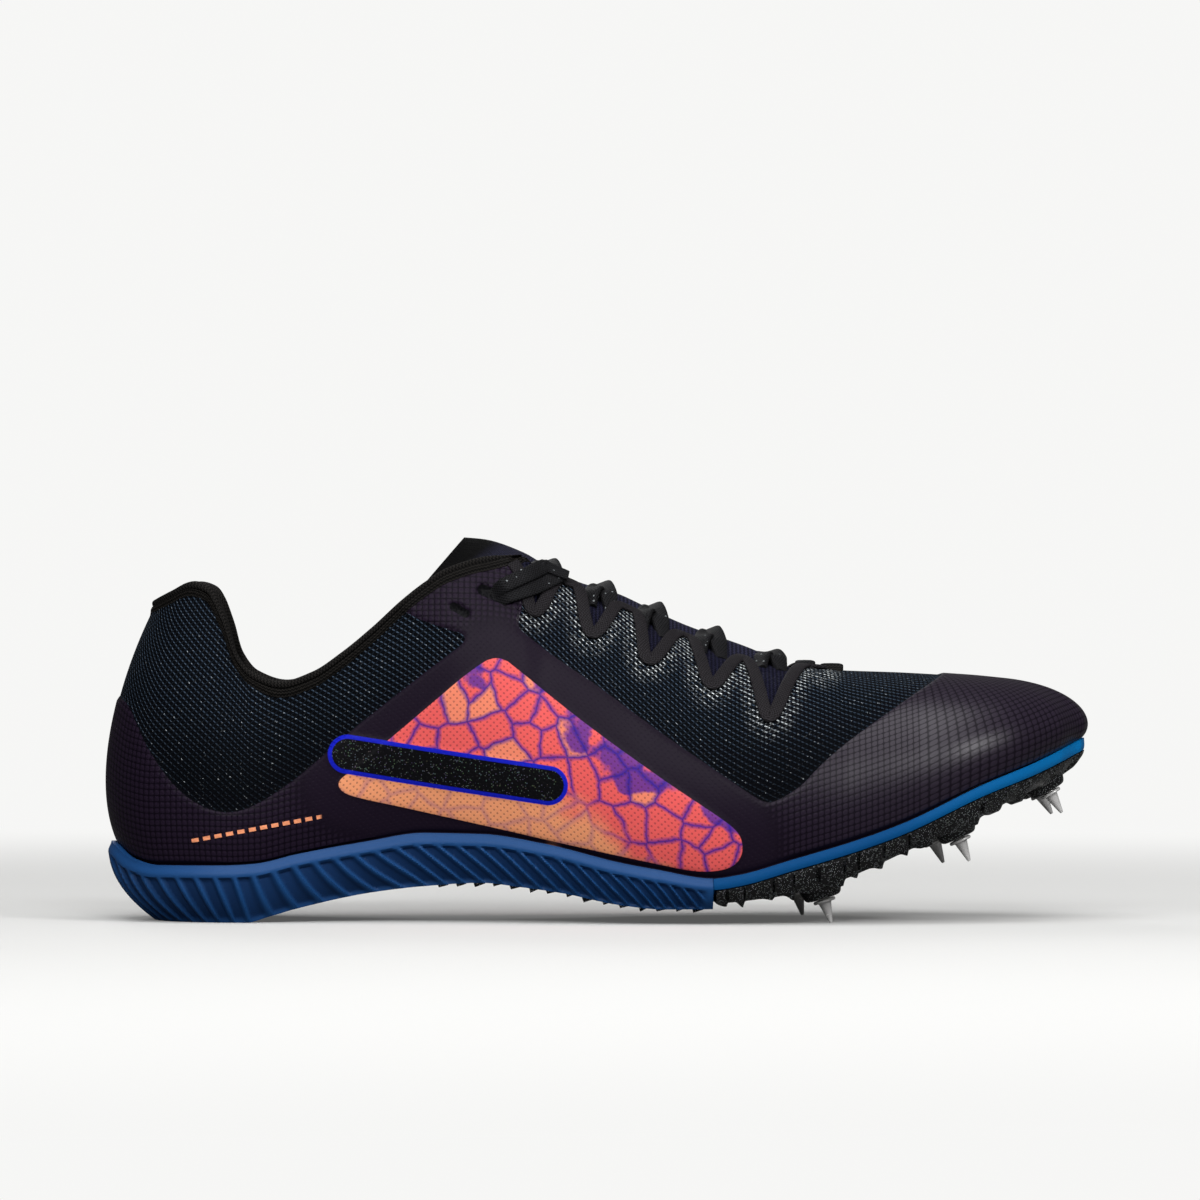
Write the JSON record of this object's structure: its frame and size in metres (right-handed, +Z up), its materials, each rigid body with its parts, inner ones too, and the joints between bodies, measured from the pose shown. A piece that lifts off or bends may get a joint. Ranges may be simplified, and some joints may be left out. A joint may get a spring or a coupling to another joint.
{
  "type": "track spike shoe",
  "caption": "Low laced running shoe with a mesh upper, ribbed foam sole and a stiff forefoot plate that carries steel spikes",
  "frame": {"origin": "middle of the flat spot under the heel, on the floor", "axes": "+X from heel to toe, +Y towards the inner side of the foot, +Z up"},
  "size_m": [0.2825, 0.0903, 0.1087],
  "materials": {
    "upper_mesh": "open mesh, with a satin film below",
    "blue_foam": "matt moulded foam",
    "black_plate": "glossy, with silver glitter",
    "sock_liner": "matt",
    "collar_knit": "matt rib knit",
    "tongue_rib": "matt rib knit",
    "webbing": "woven, slight sheen",
    "print": "printed film, satin",
    "lace": "flat woven",
    "steel": "bright"
  },
  "bodies": {
    "root": {"upper": "upper_mesh", "midsole": "blue_foam", "spike_plate": "black_plate", "insole": "sock_liner", "collar": "collar_knit", "tongue": "tongue_rib", "eyestay_outer": "webbing", "side_panel_outer": "print", "eyestay_inner": "webbing", "side_panel_inner": "print", "lace_bar_1": "lace", "lace_bar_2": "lace", "lace_bar_3": "lace", "lace_bar_4": "lace", "lace_bar_5": "lace", "lace_bar_6": "lace", "spike_rear_outer": "steel", "spike_rear_inner": "steel", "spike_mid_outer": "steel", "spike_mid_inner": "steel", "spike_front_outer": "steel", "spike_front_inner": "steel"}
  },
  "joints": []
}
